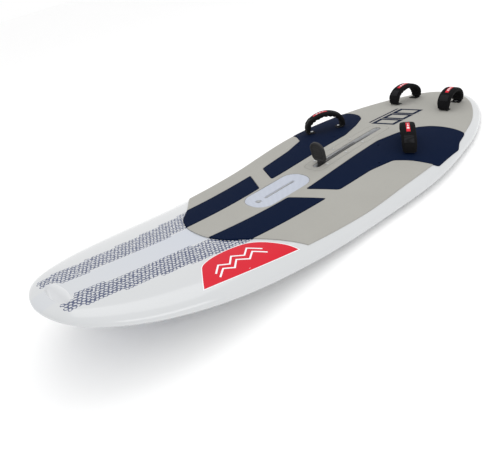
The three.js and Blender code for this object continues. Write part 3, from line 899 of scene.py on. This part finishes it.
def strap_profile(steps):
    """(along, height, normal along, normal up) over the arch, starting 9 mm above the pad."""
    first = math.asin((9 / ARCH_HEIGHT) ** (1 / 0.85))
    angles = [first + (math.pi - 2 * first) * i / (steps - 1) for i in range(steps)]
    points = [arch_point(a) for a in angles]
    out = []
    for i, (d, h) in enumerate(points):
        a = points[max(0, i - 1)]
        b = points[min(steps - 1, i + 1)]
        length = math.hypot(b[0] - a[0], b[1] - a[1])
        out.append((d, h + 1.5, -(b[1] - a[1]) / length, (b[0] - a[0]) / length))
    return out


def strap_place(row, side):
    """A function from (along, height, across) to a point in space."""
    sx, sy, yaw, pad = STRAPS[row]
    yaw = math.radians(yaw)
    along = (-math.cos(yaw), -side * math.sin(yaw))
    across = (side * math.sin(yaw), -math.cos(yaw))

    def place(d, h, w):
        x = sx + along[0] * d + across[0] * w
        y = side * sy + along[1] * d + across[1] * w
        return x, y, deck_z(x, y) + pad + 0.5 + h

    return place


def rounded_section(half, outer, inner, count=32):
    """A flattened section as (across, outwards), rounder on the padded inner side."""
    out = []
    for i in range(count):
        a = 2 * math.pi * i / count
        c, s = math.cos(a), math.sin(a)
        w = half * math.copysign(abs(c) ** 0.55, c)
        o = (outer if s > 0 else inner) * math.copysign(abs(s) ** 0.7, s)
        out.append((w, o))
    return out


def seed_of(name):
    """A small number that differs from strap to strap."""
    return sum(ord(c) * (i + 1) for i, c in enumerate(name)) % 97


def build_cover(name, row, side):
    place = strap_place(row, side)
    profile = strap_profile(72)
    section = rounded_section(STRAP_HALF, STRAP_OUTER, STRAP_INNER)
    seed = Vector((seed_of(name), 0, 0))
    rings = []
    for i, (d, h, nd, nh) in enumerate(profile):
        s = i / (len(profile) - 1)
        pinch = 1 - 0.10 * math.exp(-((s - 0.02) / 0.05) ** 2) - 0.10 * math.exp(
            -((s - 0.98) / 0.05) ** 2)
        ring = []
        for w, o in section:
            fold = noise.noise(Vector((s * 26, w * 0.03, 0)) + seed)
            ripple = max(0, -o / STRAP_INNER) * (4.4 * math.sin(s * 80 + 2.5 * fold) + 2.6 * fold)
            swell = 0.8 * noise.noise(Vector((s * 7, w * 0.05, 3)) + seed)
            reach = max(o * pinch + ripple * 0.5 + swell * 0.5, -STRAP_INNER - 1)
            ring.append(place(d + nd * reach, h + nh * reach, w * pinch))
        rings.append(ring)
    vertices, faces = loft(rings)
    cover = piece(f"strap_padding_{name}", vertices, faces, NEOPRENE,
                  nodes=[f"strap_cover_{name}"], sharp=60)


def strap_patch(name, row, side, centre, length, width, lift, material):
    """A thin patch lying on a strap's outer face."""
    place = strap_place(row, side)
    profile = strap_profile(72)
    middle = centre * (len(profile) - 1)
    reach = length / 2 / 3.2
    rings = []
    count = 12
    for i in range(count + 1):
        t = middle - reach + 2 * reach * i / count
        k = min(len(profile) - 2, max(0, int(t)))
        f = t - k
        d, h, nd, nh = (a + (b - a) * f for a, b in zip(profile[k], profile[k + 1]))
        ring = []
        for w, o in ((-width / 2, lift), (width / 2, lift), (width / 2, 7), (-width / 2, 7)):
            ring.append(place(d + nd * o, h + nh * o, w))
        rings.append(ring)
    vertices, faces = loft(rings)
    return piece(name, vertices, faces, material)


def build_strap(name, row, side):
    build_cover(name, row, side)
    strap_patch(f"label_{name}", row, side, 0.44, 54, 16, STRAP_OUTER + 0.9, RED)
    for i, at in enumerate((0.39, 0.44, 0.49)):
        strap_patch(f"label_bar_{name}_{i}", row, side, at, 6, 10 - 3 * i,
                    STRAP_OUTER + 1.2, DECAL_WHITE)
    strap_patch(f"hook_tab_{name}", row, side, 0.2, 26, 40, STRAP_OUTER + 1.4, WEBBING)


for side_name, side_sign in SIDES.items():
    for strap_row in STRAPS:
        build_strap(f"{strap_row}_{side_name}", strap_row, side_sign)


# ---------- printed graphics ----------
def ribbon(points, width, closed=False):
    """The outline of a stroke of one width along a path."""
    n = len(points)
    left, right = [], []
    for i, (x, y) in enumerate(points):
        before = points[i - 1] if closed or i else points[i]
        after = points[(i + 1) % n] if closed or i < n - 1 else points[i]
        a = Vector((x - before[0], y - before[1]))
        b = Vector((after[0] - x, after[1] - y))
        a = a.normalized() if a.length else b.normalized()
        b = b.normalized() if b.length else a
        normal = Vector((-(a.y + b.y), a.x + b.x)).normalized()
        reach = width / 2 / max(0.4, abs(normal.dot(Vector((-a.y, a.x)))))
        left.append((x + normal.x * reach, y + normal.y * reach))
        right.append((x - normal.x * reach, y - normal.y * reach))
    return left, right


def decal(name, outline, holes, lift, material, slot="hull_laminate", base=0.0):
    flat, triangles = fill(resample(outline, 9), [resample(h, 9) for h in holes], 9)
    vertices = [on_deck(x, y, base + lift) for x, y in flat]
    piece(name, vertices, triangles, material, sharp=80)


def stroke(name, points, width, lift, material, closed=False, **more):
    left, right = ribbon(points, width, closed)
    if closed:
        outer, inner = (left, right) if abs(area(left)) > abs(area(right)) else (right, left)
        decal(name, outer, [inner], lift, material, **more)
    else:
        decal(name, left + right[::-1], [], lift, material, **more)


def build_nose_decal():
    """A red shield on the port bow with a white edge and a plain angular line motif."""
    edge = catmull([
        (436, 338), (452, 303), (476, 267), (502, 234), (532, 208), (568, 192), (629, 182),
        (688, 184), (730, 196), (749, 210),
    ], 5) + [(809, 292)]
    if area(edge) < 0:
        edge = edge[::-1]
    rim = inset(resample(edge, 9), -3)
    decal("bow_decal_rim", rim, [], 0.25, DECAL_WHITE)
    decal("bow_decal", edge, [], 0.45, RED)
    motif = [
        [(735, 262), (700, 232), (668, 252), (636, 222), (600, 248), (566, 222), (530, 262)],
        [(735, 282), (700, 256), (668, 276), (636, 248), (600, 274), (566, 250), (530, 286)],
    ]
    for i, line in enumerate(motif):
        stroke(f"bow_motif_{i}", line, 6, 0.65, DECAL_WHITE)


def build_deck_motif():
    """Three outlined parallelograms and a bar, printed in navy on the pad behind the slot."""
    for i in range(3):
        x = -592 - 88 * i
        shape = [(x, 36), (x - 66, 36), (x - 42, -58), (x + 24, -58)]
        stroke(f"deck_motif_{i}", shape[::-1], 17, 0.25, NAVY_PRINT, closed=True,
               slot="pad_navy", base=PAD_GREY)
    stroke("deck_motif_bar", [(-566, -82), (-812, -82)], 10, 0.25, NAVY_PRINT,
           slot="pad_navy", base=PAD_GREY)


build_nose_decal()
build_deck_motif()


# ---------- the CAD nodes that show as they are ----------
def finish_cad_nodes():
    looks = [
        ("mast_track_box", WHITE), ("daggerboard_case", WHITE),
        ("vent_insert", VENT_GREY), ("vent_screw", STEEL), ("fin_box", BLACK),
        ("frame_screw", STEEL), ("strap_screw", STEEL), ("daggerboard_pivot_pin", STEEL),
        ("slot_seal", RUBBER), ("strap_webbing", WEBBING), ("strap_plug", BLACK),
    ]
    for name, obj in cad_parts.items():
        for start, material in looks:
            if name.startswith(start):
                obj.data.materials.clear()
                obj.data.materials.append(material)


finish_cad_nodes()


# ---------- camera, light and floor ----------
def build_camera():
    camera = bpy.data.cameras.new("camera")
    camera.lens = 36.83
    camera.sensor_width = 36
    camera.shift_x = 0.0216
    camera.shift_y = 0.0176
    camera.clip_end = 50
    obj = bpy.data.objects.new("camera", camera)
    right = Vector((-0.7183, 0.6641, -0.2073))
    down = Vector((0.4986, 0.2836, -0.8192))
    forward = Vector((-0.4852, -0.6918, -0.5348))
    turn = Matrix((right, -down, -forward)).transposed()
    obj.matrix_world = Matrix.Translation((1.4162, 1.4080, 1.1243)) @ turn.to_4x4()
    bpy.context.collection.objects.link(obj)
    bpy.context.scene.camera = obj


def area_light(name, at, target, size, power):
    light = bpy.data.lights.new(name, "AREA")
    light.shape = "RECTANGLE"
    light.size, light.size_y = size
    light.energy = power
    obj = bpy.data.objects.new(name, light)
    obj.location = at
    obj.rotation_euler = (Vector(target) - Vector(at)).to_track_quat("-Z", "Y").to_euler()
    bpy.context.collection.objects.link(obj)


def build_stage():
    mesh = bpy.data.meshes.new("floor")
    mesh.from_pydata([(-12, -12, -0.001), (12, -12, -0.001), (12, 12, -0.001), (-12, 12, -0.001)],
                     [], [(0, 1, 2, 3)])
    floor = bpy.data.objects.new("floor", mesh)
    bpy.context.collection.objects.link(floor)
    paper = Nodes("backdrop")
    mesh.materials.append(paper.set(base=(0.98, 0.98, 0.98, 1), rough=1.0))
    area_light("key", (-0.6, -0.8, 3.6), (0, 0, 0), (3.5, 2.5), 26)
    area_light("side", (1.0, 3.6, 2.2), (0.1, 0, 0), (3.2, 1.4), 24)
    world = bpy.data.worlds.new("world")
    world.use_nodes = True
    world.node_tree.nodes["Background"].inputs["Color"].default_value = (1, 1, 1, 1)
    world.node_tree.nodes["Background"].inputs["Strength"].default_value = 1.0
    bpy.context.scene.world = world
    bpy.context.scene.view_settings.view_transform = "Standard"


build_camera()
build_stage()
